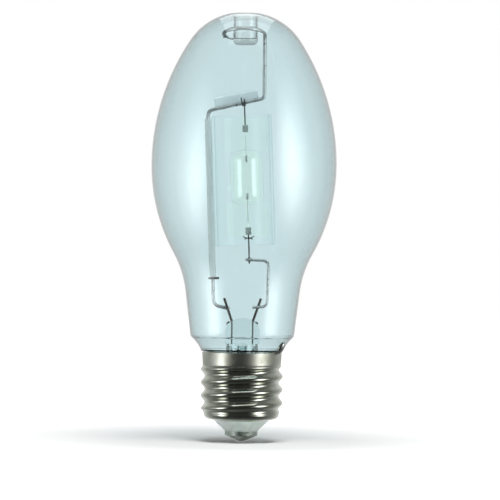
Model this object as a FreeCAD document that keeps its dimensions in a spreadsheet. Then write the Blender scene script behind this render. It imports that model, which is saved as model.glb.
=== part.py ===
# A metal halide lamp with a clear blown outer bulb and a large screw cap.
# The origin is the tip of the centre contact, on the lamp's axis.
# Z runs up the axis, X is to the right as the lamp is seen, and Y goes away.
import FreeCAD, Part
import Sketcher
import math
import os

from FreeCAD import Placement, Rotation, Vector

doc = FreeCAD.newDocument("metal_halide_lamp")
sheet = doc.addObject("Spreadsheet::Sheet", "sizes")

# Driving dimensions: millimetres, and degrees where the name says so.
DRIVING_SIZES = {
    # screw cap
    "tip_to_plate": 1.0, "plate_dish": 2.4, "plate_edge": 2.0, "plate_radius": 7.9,
    "plate_wall": 0.5, "plate_crown": 2.6, "solder_plug": 0.8,
    "insulator_height": 5.1, "insulator_seat": 0.9, "insulator_hole": 1.1,
    "insulator_top_radius": 13.2, "insulator_flange": 1.8, "insulator_clearance": 0.1,
    "cap_wall": 0.4, "cap_roll_radius": 2.6, "cap_base_radius": 18.1, "cap_base_rise": 0.7,
    "thread_major": 39.5, "thread_minor": 35.8, "thread_pitch": 6.35, "thread_turns": 3.75,
    "thread_start": 5.3, "thread_fade": 2.6,
    "collar_height": 5.6, "collar_flare": 0.3,
    # outer bulb
    "bulb_length": 163.1, "usual_bulb_length": 163.1, "glass_wall": 1.0, "rim_gap": 0.6,
    "dome_radius": 29.8, "dome_offset": 1.5, "side_radius": 108.6, "bulb_radius": 44.45,
    "neck_straight_share": 0.2488, "throat_share": 0.575, "neck_taper_degrees": 6.7,
    "neck_radius": 25.05, "neck_height": 8.6, "shoulder_radius": 3.0, "hollow_radius": 16.0,
    "foot_radius": 19.7, "dimple_radius": 5.9, "dimple_depth": 13.2, "dimple_floor": 2.6,
    "dimple_mouth": 2.2, "dimple_root": 1.0, "dimple_corner": 2.2,
    "seal_neck_radius": 17.7, "seal_neck_depth": 4.6, "seal_tail_radius": 16.7,
    "seal_tail_depth": 19.0, "seal_taper": 1.6,
    # stem
    "stem_tube_radius": 7.7, "stem_wall": 1.2, "flare_rise": 7.0,
    "press_width": 16.6, "press_thickness": 5.0, "press_side": 6.2, "press_curve": 9.0,
    "press_above_rim": 4.6, "press_floor": 1.0, "bead_radius": 1.3, "bead_beside_wire": 1.4,
    "bead_rise": 8.9, "exhaust_radius": 2.4, "exhaust_wall": 0.9, "exhaust_length": 21.0,
    # lead wires
    "post_spacing": 10.0, "post_diameter": 1.2, "post_length": 11.8, "post_splay_degrees": 19.0,
    "post_seat": 10.0,
    "seal_wire_diameter": 0.8, "lead_wire_diameter": 0.5, "lead_wire_turn": 1.0,
    "lead_wire_hook": 0.5, "lead_wire_dip": 1.5, "side_lead_degrees": 30.0, "cement_gap": 0.3,
    "lump_length": 7.2, "lump_width": 4.0, "lump_thickness": 3.0, "lump_lean_degrees": 32.0,
    "lump_rise": 2.4, "lump_offset": 2.5,
    # frame
    "rod_diameter": 1.65, "foot_overlap": 0.9, "foot_above_seat": 6.2, "foot_rise": 1.8,
    "side_offset": 13.9, "lean_degrees": 2.4, "side_height": 93.15, "rod_bend": 3.2, "weld_gap": 0.02,
    "bar_slope_degrees": 13.0, "riser_bend": 1.9, "riser_straight": 0.4,
    "ring_radius": 9.75, "ring_offset": 0.6, "ring_drop": 10.4, "ring_tilt_degrees": 13.0,
    "ring_sweep_degrees": 252.0,
    "sleeve_wall": 0.65, "sleeve_clearance": 0.1, "sleeve_length": 75.6, "sleeve_base": 13.5,
    "stop_wire": 1.1, "stop_tail": 3.0, "stop_gap": 0.05,
    # getter
    "getter_length": 21.4, "getter_width": 4.5, "getter_sheet": 0.25, "getter_flange": 1.6,
    "getter_fold_degrees": 55.0, "getter_slope_degrees": 11.5, "getter_start": 3.7,
    "getter_dip": 0.3,
    # burner
    "burner_offset": 1.35, "burner_height": 61.3, "arc_radius": 7.9, "arc_wall": 1.5,
    "arc_length": 26.4, "arc_end_radius": 5.2,
    "pinch_width": 20.8, "pinch_thickness": 4.2, "pinch_web": 2.7, "pinch_rib": 2.6,
    "pinch_length": 15.5, "pinch_root": 1.0, "tip_off_radius": 1.35, "tip_off_length": 1.9,
    "tip_off_drop": 4.8, "tip_off_base": 2.4,
    "foil_width": 2.7, "foil_length": 3.4, "foil_thickness": 0.3,
    "upper_foil_inset": 3.7, "lower_foil_inset": 1.3,
    "electrode_diameter": 0.55, "electrode_reach": 4.6, "electrode_nose": 0.6,
    "coil_diameter": 1.9, "coil_length": 3.0,
    "burner_lead_diameter": 1.0, "upper_lead_length": 12.7, "lower_lead_length": 13.9,
    "washer_width": 6.2, "washer_waist": 3.6, "washer_sheet": 0.5, "washer_fit": 0.05,
    "washer_gap": 0.15,
    "clip_diameter": 0.7, "clip_rise": 2.6, "clip_hook": 1.5, "clip_slant": 0.8,
    "clip_bend": 0.5,
    "shroud_radius": 14.5, "shroud_wall": 1.25, "shroud_length": 62.5, "shroud_gap": 0.05,
    "shroud_drop": 1.5,
    # right support wire
    "support_diameter": 1.3, "support_upper_overlap": 1.7, "support_height": 22.6,
    "support_offset": 12.2, "support_lower_overlap": 2.6, "support_post_rise": 7.0,
    "support_slope": 0.5, "support_bend": 2.6,
}

for row, (alias, number) in enumerate(DRIVING_SIZES.items(), start=1):
    sheet.set("A%d" % row, alias)
    sheet.set("B%d" % row, str(number))
    sheet.setAlias("B%d" % row, alias)
doc.recompute()


class Size:
    """A length or angle that knows its number and the sheet formula it comes from."""

    def __init__(self, number, formula):
        self.number = float(number)
        self.formula = formula

    def __add__(self, other):
        other = as_size(other)
        return Size(self.number + other.number, "(%s + %s)" % (self.formula, other.formula))

    def __sub__(self, other):
        other = as_size(other)
        return Size(self.number - other.number, "(%s - %s)" % (self.formula, other.formula))

    def __mul__(self, other):
        other = as_size(other)
        return Size(self.number * other.number, "(%s * %s)" % (self.formula, other.formula))

    def __truediv__(self, other):
        other = as_size(other)
        return Size(self.number / other.number, "(%s / %s)" % (self.formula, other.formula))

    def __neg__(self):
        return Size(-self.number, "(0 - %s)" % self.formula)


def as_size(value):
    """A plain number taken into a formula as it stands."""
    if isinstance(value, Size):
        return value
    return Size(value, repr(float(value)))


# What is given for a bulb of the usual length and stretches along with a longer one.
STRETCHED = (
    "side_height", "sleeve_length", "sleeve_base", "getter_length", "burner_height", "arc_length",
    "pinch_length", "upper_lead_length", "lower_lead_length", "shroud_length", "support_height",
)


def size(alias):
    """The size kept in the sheet under this alias, stretched where it follows the bulb."""
    value = Size(sheet.get(alias), "sizes." + alias)
    if alias in STRETCHED:
        return value * size("bulb_length") / size("usual_bulb_length")
    return value


def cosine(angle):
    """Cosine of an angle in degrees."""
    return Size(math.cos(math.radians(angle.number)), "cos(%s)" % angle.formula)


def sine(angle):
    """Sine of an angle in degrees."""
    return Size(math.sin(math.radians(angle.number)), "sin(%s)" % angle.formula)


def root(value):
    """Square root of a size."""
    return Size(math.sqrt(value.number), "sqrt(%s)" % value.formula)


def plane_of(body, role):
    """One of a body's own origin planes, found by its role."""
    for feature in body.Origin.OriginFeatures:
        if feature.Role == role:
            return feature
    raise ValueError("no plane " + role)


def new_sketch(body, name, role, height=None):
    """An empty sketch on one of the body's origin planes, raised along its normal."""
    sketch = body.newObject("Sketcher::SketchObject", name)
    sketch.AttachmentSupport = (plane_of(body, role), [""])
    sketch.MapMode = "FlatFace"
    if height is not None:
        sketch.AttachmentOffset = Placement(Vector(0, 0, height.number), Rotation())
        sketch.setExpression("AttachmentOffset.Base.z", height.formula)
    return sketch


def bind(sketch, index, value):
    """Ties one sketch constraint to its formula in the sheet."""
    sketch.setExpression("Constraints[%d]" % index, value.formula)


def pin_point(sketch, segment, end, across, along):
    """Fixes one end of a segment at its two coordinates from the origin."""
    for kind, axis, value in (("DistanceX", -2, across), ("DistanceY", -1, along)):
        if value.number == 0:
            sketch.addConstraint(Sketcher.Constraint("PointOnObject", segment, end, axis))
        else:
            rule = Sketcher.Constraint(kind, -1, 1, segment, end, value.number)
            bind(sketch, sketch.addConstraint(rule), value)


def arc_between(start, stop, radius, turn):
    """Circle arc from start to stop, and which of its ends is which.

    A turn of 1 goes anticlockwise from start to stop, and -1 clockwise.
    """
    chord = stop - start
    half = chord.Length / 2
    rise = math.sqrt(max(radius * radius - half * half, 0))
    left = Vector(-chord.y, chord.x, 0).normalize()
    centre = (start + stop) * 0.5 + left * (rise * turn)
    first, last = (start, stop) if turn > 0 else (stop, start)
    angle_first = math.atan2(first.y - centre.y, first.x - centre.x)
    angle_last = math.atan2(last.y - centre.y, last.x - centre.x)
    circle = Part.Circle(centre, Vector(0, 0, 1), radius)
    if angle_last < angle_first:
        angle_last += 2 * math.pi
    ends = (1, 2) if turn > 0 else (2, 1)
    return Part.ArcOfCircle(circle, angle_first, angle_last), ends


def draw_outline(sketch, corners):
    """A closed outline. A corner is (across, along), and (across, along, radius, turn)
    where the stretch to the next corner is an arc."""
    spots = [Vector(as_size(c[0]).number, as_size(c[1]).number, 0) for c in corners]
    pieces = []
    for index, corner in enumerate(corners):
        start = spots[index]
        stop = spots[(index + 1) % len(spots)]
        if len(corner) == 2:
            segment = sketch.addGeometry(Part.LineSegment(start, stop), False)
            pieces.append((segment, (1, 2)))
        else:
            curve, ends = arc_between(start, stop, as_size(corner[2]).number, corner[3])
            pieces.append((sketch.addGeometry(curve, False), ends))
    for index, corner in enumerate(corners):
        segment, ends = pieces[index]
        following, next_ends = pieces[(index + 1) % len(pieces)]
        sketch.addConstraint(Sketcher.Constraint("Coincident", segment, ends[1], following, next_ends[0]))
        pin_point(sketch, segment, ends[0], as_size(corner[0]), as_size(corner[1]))
        if len(corner) > 2:
            rule = Sketcher.Constraint("Radius", segment, as_size(corner[2]).number)
            bind(sketch, sketch.addConstraint(rule), as_size(corner[2]))


def draw_circle(sketch, across, along, radius):
    """One full circle."""
    centre = Vector(as_size(across).number, as_size(along).number, 0)
    circle = sketch.addGeometry(Part.Circle(centre, Vector(0, 0, 1), radius.number), False)
    pin_point(sketch, circle, 3, as_size(across), as_size(along))
    rule = Sketcher.Constraint("Radius", circle, radius.number)
    bind(sketch, sketch.addConstraint(rule), radius)


def new_body(label):
    """An empty body that carries the piece's name."""
    body = doc.addObject("PartDesign::Body", label)
    body.Label = label
    return body


def revolve(body, sketch):
    """Turns the sketch once round the body's Z axis."""
    turned = body.newObject("PartDesign::Revolution", body.Label + "_turned")
    turned.Profile = sketch
    turned.ReferenceAxis = (sketch, ["V_Axis"])
    turned.Angle = 360
    sketch.Visibility = False
    body.Tip = turned
    return turned


def turned_body(label, corners):
    """A body made by turning one closed outline of radius and height."""
    body = new_body(label)
    sketch = new_sketch(body, label + "_outline", "XZ_Plane")
    draw_outline(sketch, corners)
    revolve(body, sketch)
    return body


def pad(body, sketch, length, symmetric=False):
    """Raises the sketch by a length, or by half of it to each side."""
    raised = body.newObject("PartDesign::Pad", sketch.Label + "_raised")
    raised.Profile = sketch
    raised.Length = length.number
    raised.setExpression("Length", length.formula)
    if symmetric:
        raised.SideType = "Symmetric"
    body.Tip = raised
    return raised


def rod(label, diameter, length):
    """A straight piece of round wire along Z from its own origin."""
    wire = doc.addObject("Part::Cylinder", label)
    wire.Label = label
    wire.setExpression("Radius", (diameter / 2).formula)
    wire.setExpression("Height", length.formula)
    return wire


def lean(angle, base):
    """A placement at base, tipped towards +X by an angle in degrees."""
    return Placement(base, Rotation(Vector(0, 1, 0), angle))


def bent_edges(points, bends):
    """Straight runs joined by tangent arcs, with one bend radius for each corner."""
    edges = []
    here = points[0]
    for before, corner, after, bend in zip(points, points[1:], points[2:], bends):
        back = (before - corner).normalize()
        ahead = (after - corner).normalize()
        half = back.getAngle(ahead) / 2
        setback = bend / math.tan(half)
        middle = (back + ahead).normalize()
        centre = corner + middle * (bend / math.sin(half))
        entry = corner + back * setback
        leave = corner + ahead * setback
        edges.append(Part.LineSegment(here, entry).toShape())
        edges.append(Part.Arc(entry, centre - middle * bend, leave).toShape())
        here = leave
    edges.append(Part.LineSegment(here, points[-1]).toShape())
    return edges


def swept_wire(label, edges, diameter):
    """Round wire along a path of edges, as one sweep of a circle."""
    path = doc.addObject("Part::Feature", label + "_path")
    path.Shape = Part.Wire(edges)
    section = doc.addObject("Part::Circle", label + "_section")
    section.setExpression("Radius", (diameter / 2).formula)
    start = edges[0].valueAt(edges[0].FirstParameter)
    heading = edges[0].tangentAt(edges[0].FirstParameter)
    section.Placement = Placement(start, Rotation(Vector(0, 0, 1), heading))
    sweep = doc.addObject("Part::Sweep", label)
    sweep.Label = label
    sweep.Sections = [section]
    sweep.Spine = (path, ["Edge%d" % (n + 1) for n in range(len(edges))])
    sweep.Solid = True
    sweep.Frenet = False
    path.Visibility = False
    section.Visibility = False
    return sweep


def less(label, base, tools):
    """A piece with the seats of other pieces cut out of it."""
    cut = doc.addObject("Part::Cut", label)
    cut.Label = label
    cut.Base = base
    cut.Tool = tools[0]
    if len(tools) > 1:
        cut.Tool = doc.addObject("Part::MultiFuse", label + "_seats")
        cut.Tool.Shapes = tools
    return cut


# Heights that several pieces share, counted up from the tip of the solder.
plate_top = size("tip_to_plate") + size("plate_dish") + size("plate_edge")
shell_base = plate_top + size("insulator_height")
thread_base = shell_base + size("cap_base_rise") + size("cap_roll_radius")
thread_height = size("thread_pitch") * size("thread_turns")
collar_base = thread_base + thread_height
rim = collar_base + size("collar_height")
press_base = rim + size("press_above_rim")
thread_mean = (size("thread_major") + size("thread_minor")) / 4
thread_swing = (size("thread_major") - size("thread_minor")) / 4


# Screw cap shell: thin sheet, drawn to a cup and rolled so that both its sides
# carry the thread. At each height its section is a circle set off the axis by the
# thread's swing, and the circle goes round once in each pitch.
def thread_tube(label, inset):
    """Solid inside one side of the rolled thread, as a loft of level circles."""
    circles_a_turn = 8
    count = int(round(sheet.get("thread_turns") * circles_a_turn))
    circles = []
    for step in range(count + 1):
        climb = thread_height * (step / count)
        level = thread_base + climb
        to_end = min(climb.number, thread_height.number - climb.number)
        fade = min(to_end / sheet.get("thread_fade"), 1.0)
        swell = fade * fade * (3 - 2 * fade)
        # the run-in widens from the base radius to the mean radius of the thread
        grow = min(climb.number / sheet.get("thread_fade"), 1.0)
        mean = size("cap_base_radius") + (thread_mean - size("cap_base_radius")) * grow
        turned = (climb - size("thread_start")) / size("thread_pitch") * 360.0
        circle = doc.addObject("Part::Circle", "%s_ring_%d" % (label, step))
        circle.setExpression("Radius", (mean - inset).formula)
        circle.setExpression("Placement.Base.x", (thread_swing * swell * cosine(turned)).formula)
        circle.setExpression("Placement.Base.y", (thread_swing * swell * sine(turned)).formula)
        circle.setExpression("Placement.Base.z", level.formula)
        circle.Visibility = False
        circles.append(circle)
    loft = doc.addObject("Part::Loft", label)
    loft.Sections = circles
    loft.Solid = True
    loft.Ruled = False
    return loft


outer_thread = thread_tube("cap_thread_outside", as_size(0.0))
inner_thread = thread_tube("cap_thread_inside", size("cap_wall"))
rolled_thread = doc.addObject("Part::Cut", "cap_thread_wall")
rolled_thread.Base = outer_thread
rolled_thread.Tool = inner_thread

wall = size("cap_wall")
base_side = size("cap_base_radius")
roll = size("cap_roll_radius")
opening = size("insulator_top_radius")
cap_base = turned_body("cap_base_roll", [
    (opening, shell_base),
    (base_side - roll, shell_base + size("cap_base_rise"), roll, 1),
    (base_side, thread_base),
    (base_side - wall, thread_base, roll - wall, -1),
    (base_side - roll, shell_base + size("cap_base_rise") + wall),
    (opening, shell_base + wall),
])
collar_flare = size("collar_flare")
cap_collar = turned_body("cap_collar", [
    (thread_mean - wall, collar_base),
    (thread_mean, collar_base),
    (thread_mean + collar_flare, rim),
    (thread_mean + collar_flare - wall, rim),
])
cap_shell = doc.addObject("Part::MultiFuse", "cap_shell")
cap_shell.Label = "cap_shell"
cap_shell.Shapes = [cap_base, rolled_thread, cap_collar]
cap_shell.Refine = True


# Insulator: pressed glass, cast into the foot of the shell and down to the contact.
hole = size("insulator_hole")
flange = size("insulator_flange")
seat = size("insulator_seat")
plate_radius = size("plate_radius")
inside_base = shell_base + size("cap_base_rise") + wall
flange_side = size("thread_minor") / 2 - wall - size("insulator_clearance")
insulator = turned_body("insulator", [
    (hole, plate_top + seat),
    (plate_radius - wall, plate_top + seat),
    (plate_radius - wall, plate_top),
    (plate_radius, plate_top),
    (opening, shell_base),
    (opening, shell_base + wall),
    (base_side - roll, inside_base, roll - wall, 1),
    (base_side - wall, inside_base + roll - wall),
    (flange_side, inside_base + roll - wall + flange),
    (hole, inside_base + roll - wall + flange),
])

# Centre contact: a tinned plate let into the insulator, dished towards its solder.
plate_wall = size("plate_wall")
crown = size("plate_crown")
tip = size("tip_to_plate")
centre_contact = turned_body("centre_contact", [
    (hole, tip + plate_wall),
    (hole, tip),
    (crown, tip),
    (plate_radius, plate_top - size("plate_edge")),
    (plate_radius, plate_top),
    (plate_radius - wall, plate_top),
    (plate_radius - wall, plate_top + seat),
    (plate_radius - wall - plate_wall, plate_top + seat),
    (plate_radius - wall - plate_wall, plate_top - size("plate_edge")),
    (crown, tip + plate_wall),
])


# Outer bulb: clear glass, blown in a mould, with a dimple pressed into its dome
# for the frame's ring. Both sides of the wall are the same run of tangent arcs.
def unit(vector):
    """The same direction, one long."""
    return Vector(vector).normalize()


def glass_side(sketch, inset, wall_radius, mouth, floor, corner):
    """One side of the glass, from the axis at the dimple's floor to the rim.

    Inset is how far it lies inside the outer side. Returns the first and the last
    segment, with the end of each that is free.
    """
    def line(start, stop):
        return sketch.addGeometry(Part.LineSegment(start, stop), False)

    def arc(centre, start, stop, turn):
        radius = (start - centre).Length
        first, last = (start, stop) if turn > 0 else (stop, start)
        begin = math.atan2(first.y - centre.y, first.x - centre.x)
        finish = math.atan2(last.y - centre.y, last.x - centre.x)
        if finish < begin:
            finish += 2 * math.pi
        circle = Part.Circle(centre, Vector(0, 0, 1), radius)
        return sketch.addGeometry(Part.ArcOfCircle(circle, begin, finish), False)

    def rule(kind, *where):
        """A constraint whose last word is a size from the sheet."""
        value = where[-1]
        made = Sketcher.Constraint(kind, *where[:-1], value.number)
        bind(sketch, sketch.addConstraint(made), value)

    def tangent(one, one_end, other, other_end):
        sketch.addConstraint(Sketcher.Constraint("Tangent", one, one_end, other, other_end))

    dome = size("dome_radius")
    dome_x = size("dome_offset")
    dome_z = rim + size("bulb_length") - dome
    side = size("side_radius")
    shoulder = size("shoulder_radius")
    hollow = size("hollow_radius")
    taper = size("neck_taper_degrees")
    side_x = size("bulb_radius") - side
    neck_x = size("neck_radius")
    neck_z = rim + size("neck_height")
    foot_z = rim + size("rim_gap")
    step = inset.number

    # the belly's arc and the throat's join the widest point to the straight neck
    reach = side - dome
    across = dome_x - side_x
    widest_z = dome_z - root(reach * reach - across * across)
    straight = (widest_z - neck_z) * size("neck_straight_share")
    inward = size("bulb_radius") - neck_x - straight * sine(taper) / cosine(taper)
    drop = widest_z - neck_z - straight
    share = size("throat_share")
    span = inward * inward + drop * drop
    lever = inward * (share * cosine(taper) + 1.0) - drop * share * sine(taper)
    flat = share * 2.0 - share * cosine(taper) * 2.0
    belly = span / (lever + root(lever * lever + span * flat))
    throat = belly * share

    # centres of the arcs, shared by both sides of the wall
    dome_c = Vector(dome_x.number, dome_z.number, 0)
    side_c = Vector(side_x.number, widest_z.number, 0)
    belly_c = Vector(size("bulb_radius").number - belly.number, side_c.y, 0)
    down = math.radians(taper.number)
    outward = Vector(math.cos(down), -math.sin(down), 0)
    upward = Vector(math.sin(down), math.cos(down), 0)
    neck_foot = Vector(neck_x.number, neck_z.number, 0)
    throat_line = neck_foot + outward * throat.number
    away = throat_line - belly_c
    along = away.dot(upward)
    gap = away.dot(away) - (belly.number + throat.number) ** 2
    throat_c = throat_line - upward * (along + math.sqrt(along * along - gap))
    shoulder_c = neck_foot - outward * shoulder.number
    foot = Vector(sheet.get("foot_radius"), foot_z.number, 0)
    to_foot = foot - shoulder_c
    near, far = shoulder.number + hollow.number, hollow.number
    base = (near * near - far * far + to_foot.Length ** 2) / (2 * to_foot.Length)
    rise = math.sqrt(near * near - base * base)
    ahead = unit(to_foot)
    hollow_c = shoulder_c + ahead * base + Vector(-ahead.y, ahead.x, 0) * rise
    if hollow_c.x < shoulder_c.x:
        hollow_c = shoulder_c + ahead * base - Vector(-ahead.y, ahead.x, 0) * rise

    # points of this side
    floor_z, wall_x = floor.number, wall_radius.number
    mouth_x = wall_x + mouth.number
    dome_r = dome.number - step
    mouth_z = dome_z.number + math.sqrt((dome_r - mouth.number) ** 2 - (mouth_x - dome_x.number) ** 2)
    mouth_c = Vector(mouth_x, mouth_z, 0)
    p_floor = Vector(wall_x - corner.number, floor_z, 0)
    p_corner = Vector(wall_x, floor_z + corner.number, 0)
    p_mouth = Vector(wall_x, mouth_z, 0)
    p_dome = dome_c + unit(mouth_c - dome_c) * dome_r
    p_side = dome_c + unit(dome_c - side_c) * dome_r
    p_belly = Vector(size("bulb_radius").number - step, side_c.y, 0)
    p_throat = belly_c + unit(throat_c - belly_c) * (belly.number - step)
    p_neck = throat_c - outward * (throat.number + step)
    p_shoulder = neck_foot - outward * step
    p_hollow = shoulder_c + unit(hollow_c - shoulder_c) * (shoulder.number - step)
    hollow_r = hollow.number + step
    p_foot_z = foot_z.number + step
    p_foot_x = hollow_c.x - math.sqrt(hollow_r ** 2 - (p_foot_z - hollow_c.y) ** 2)
    p_foot = Vector(p_foot_x, p_foot_z, 0)

    s_floor = line(Vector(0, floor_z, 0), p_floor)
    s_corner = arc(Vector(wall_x - corner.number, floor_z + corner.number, 0), p_floor, p_corner, 1)
    s_wall = line(p_corner, p_mouth)
    s_mouth = arc(mouth_c, p_mouth, p_dome, -1)
    s_dome = arc(dome_c, p_dome, p_side, -1)
    s_side = arc(side_c, p_side, p_belly, -1)
    s_belly = arc(belly_c, p_belly, p_throat, -1)
    s_throat = arc(throat_c, p_throat, p_neck, 1)
    s_neck = line(p_shoulder, p_neck)
    s_shoulder = arc(shoulder_c, p_shoulder, p_hollow, -1)
    s_hollow = arc(hollow_c, p_hollow, p_foot, 1)

    sketch.addConstraint(Sketcher.Constraint("PointOnObject", s_floor, 1, -2))
    sketch.addConstraint(Sketcher.Constraint("Horizontal", s_floor))
    rule("DistanceY", -1, 1, s_floor, 1, floor)
    tangent(s_floor, 2, s_corner, 1)
    rule("Radius", s_corner, corner)
    tangent(s_corner, 2, s_wall, 1)
    sketch.addConstraint(Sketcher.Constraint("Vertical", s_wall))
    rule("DistanceX", -1, 1, s_wall, 1, wall_radius)
    tangent(s_wall, 2, s_mouth, 2)
    rule("Radius", s_mouth, mouth)
    tangent(s_mouth, 1, s_dome, 2)
    rule("Radius", s_dome, dome - inset)
    rule("DistanceX", -1, 1, s_dome, 3, dome_x)
    rule("DistanceY", -1, 1, s_dome, 3, dome_z)
    tangent(s_dome, 1, s_side, 2)
    rule("Radius", s_side, side - inset)
    rule("DistanceX", -1, 1, s_side, 3, side_x)
    sketch.addConstraint(Sketcher.Constraint("Horizontal", s_side, 3, s_side, 1))
    tangent(s_side, 1, s_belly, 2)
    rule("Radius", s_belly, belly - inset)
    tangent(s_belly, 1, s_throat, 1)
    rule("Radius", s_throat, throat + inset)
    tangent(s_throat, 2, s_neck, 2)
    rule("DistanceX", -1, 1, s_neck, 1, neck_x - inset * cosine(taper))
    rule("DistanceY", -1, 1, s_neck, 1, neck_z + inset * sine(taper))
    tangent(s_neck, 1, s_shoulder, 2)
    rule("Radius", s_shoulder, shoulder - inset)
    tangent(s_shoulder, 1, s_hollow, 1)
    rule("Radius", s_hollow, hollow + inset)
    rule("DistanceY", -1, 1, s_hollow, 2, foot_z + inset)
    return s_floor, s_neck, s_hollow, p_foot


bulb = new_body("outer_bulb")
outline = new_sketch(bulb, "outer_bulb_outline", "XZ_Plane")
glass = size("glass_wall")
dimple = size("dimple_radius")
top = rim + size("bulb_length")
floor_out = top - size("dimple_depth")
floor_in = floor_out - size("dimple_floor")
air_floor, air_neck, air_foot, air_end = glass_side(
    outline, as_size(0.0), dimple - glass, size("dimple_mouth"), floor_out, size("dimple_corner") / 2)
gas_floor, gas_neck, gas_foot, gas_end = glass_side(
    outline, glass, dimple, size("dimple_root"), floor_in, size("dimple_corner"))
# the air side's foot is given by its radius, and its neck by the mould's taper
pinned = Sketcher.Constraint("DistanceX", -1, 1, air_foot, 2, sheet.get("foot_radius"))
bind(outline, outline.addConstraint(pinned), size("foot_radius"))
outline.addConstraint(Sketcher.Constraint("Parallel", air_neck, gas_neck))
outline.addConstraint(Sketcher.Constraint("Vertical", air_foot, 3, gas_foot, 3))
slope = Size(90, "90") - size("neck_taper_degrees")
tapered = Sketcher.Constraint("Angle", air_neck, math.radians(slope.number))
bind(outline, outline.addConstraint(tapered), slope)

# the neck below the rim, down to the seal with the stem's flare
seal = size("seal_neck_radius")
tail = size("seal_tail_radius")
step_z = rim - size("seal_neck_depth")
tail_z = step_z - size("seal_taper")
end_z = rim - size("seal_tail_depth")
foot_z = rim + size("rim_gap")
neck_corners = [
    (seal, foot_z), (seal, step_z), (tail, tail_z), (tail, end_z),
    (tail - glass, end_z), (tail - glass, tail_z), (seal - glass, step_z),
    (seal - glass, foot_z + glass * 0.6),
]
lines = []
spots = [air_end] + [Vector(x.number, z.number, 0) for x, z in neck_corners] + [gas_end]
for start, stop in zip(spots, spots[1:]):
    lines.append(outline.addGeometry(Part.LineSegment(start, stop), False))
for index, (x, z) in enumerate(neck_corners):
    outline.addConstraint(Sketcher.Constraint("Coincident", lines[index], 2, lines[index + 1], 1))
    pin_point(outline, lines[index], 2, x, z)
outline.addConstraint(Sketcher.Constraint("Coincident", air_foot, 2, lines[0], 1))
outline.addConstraint(Sketcher.Constraint("Coincident", gas_foot, 2, lines[-1], 2))
axis_top = Vector(0, floor_out.number, 0)
axis_foot = Vector(0, floor_in.number, 0)
centre_line = outline.addGeometry(Part.LineSegment(axis_foot, axis_top), False)
outline.addConstraint(Sketcher.Constraint("Coincident", centre_line, 2, air_floor, 1))
outline.addConstraint(Sketcher.Constraint("Coincident", centre_line, 1, gas_floor, 1))
revolve(bulb, outline)


# Stem: a glass flare sealed into the neck, with its top pressed flat over the
# seal wires. The exhaust tube hangs inside it, tipped off out of sight.
flare_z = end_z + size("flare_rise")
tube = size("stem_tube_radius")
tube_wall = size("stem_wall")
flare_edge = tail - glass
flare_middle = (tube + flare_edge) / 2
cavity_top = press_base - size("press_floor")
stem_tube = turned_body("stem_tube", [
    (0, cavity_top), (tube - tube_wall, cavity_top), (tube - tube_wall, flare_z),
    (flare_middle - tube_wall, end_z + size("flare_rise") / 3), (flare_edge - tube_wall, end_z),
    (flare_edge, end_z), (flare_edge, end_z + tube_wall),
    (flare_middle, flare_z - size("flare_rise") / 2), (tube, flare_z), (tube, press_base), (0, press_base),
])
press = new_body("stem_press")
press_outline = new_sketch(press, "stem_press_outline", "XZ_Plane")
half_press = size("press_width") / 2
press_side = press_base + size("press_side")
draw_outline(press_outline, [
    (-half_press, press_base), (half_press, press_base),
    (half_press, press_side, size("press_curve"), 1), (-half_press, press_side),
])
pad(press, press_outline, size("press_thickness"), symmetric=True)
wire_x = size("post_spacing") / 2
beads = []
for name, side in (("stem_bead_left", -1), ("stem_bead_right", 1)):
    bead = doc.addObject("Part::Sphere", name)
    bead.setExpression("Radius", "sizes.bead_radius")
    bead.setExpression("Placement.Base.x", ((wire_x + size("bead_beside_wire")) * side).formula)
    bead.setExpression("Placement.Base.z", (press_base + size("bead_rise")).formula)
    beads.append(bead)
stem_glass = doc.addObject("Part::MultiFuse", "stem_glass")
stem_glass.Shapes = [stem_tube, press] + beads

exhaust = size("exhaust_radius")
exhaust_end = cavity_top - size("exhaust_length")
exhaust_bore = exhaust - size("exhaust_wall")
exhaust_tube = turned_body("exhaust_tube", [
    (0, exhaust_end, exhaust, 1), (exhaust, exhaust_end + exhaust), (exhaust, cavity_top),
    (exhaust_bore, cavity_top), (exhaust_bore, exhaust_end + exhaust, exhaust_bore, -1),
    (0, exhaust_end + size("exhaust_wall")),
])


# Lead wires: a nickel post inside the bulb, a thinner seal wire through the press
# and a soft lead on to its contact in the cap, welded end to end.
post_diameter = size("post_diameter")
splay = size("post_splay_degrees")
seat_z = press_base + size("post_seat")
seal_length = size("post_seat") + size("press_floor")
lift = size("seal_wire_diameter") / 2 * sine(splay) / cosine(splay)
posts = []
seal_wires = []
for name, side in (("left", -1), ("right", 1)):
    post = rod(name + "_lead_post", post_diameter, size("post_length"))
    base = Vector(side * wire_x.number, 0, (seat_z + lift).number)
    post.Placement = lean(side * splay.number, base)
    posts.append(post)
    seal_wire = rod(name + "_seal_wire", size("seal_wire_diameter"), seal_length)
    seal_wire.Placement = Placement(Vector(side * wire_x.number, 0, cavity_top.number), Rotation())
    seal_wires.append(seal_wire)
stem = less("stem", less("stem_with_post_seats", stem_glass, posts), seal_wires)


def post_x(height):
    """How far from the axis a lead post is at this height."""
    return wire_x.number + (height - seat_z.number) * math.tan(math.radians(splay.number))


turn = sheet.get("lead_wire_turn")
lead = size("lead_wire_diameter")
bottom_z = end_z.number - sheet.get("lead_wire_dip")
around = math.radians(-sheet.get("side_lead_degrees"))


def at_side(radius, height):
    """A point at the side lead's place round the cap."""
    return Vector(radius * math.cos(around), radius * math.sin(around), height)


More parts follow.
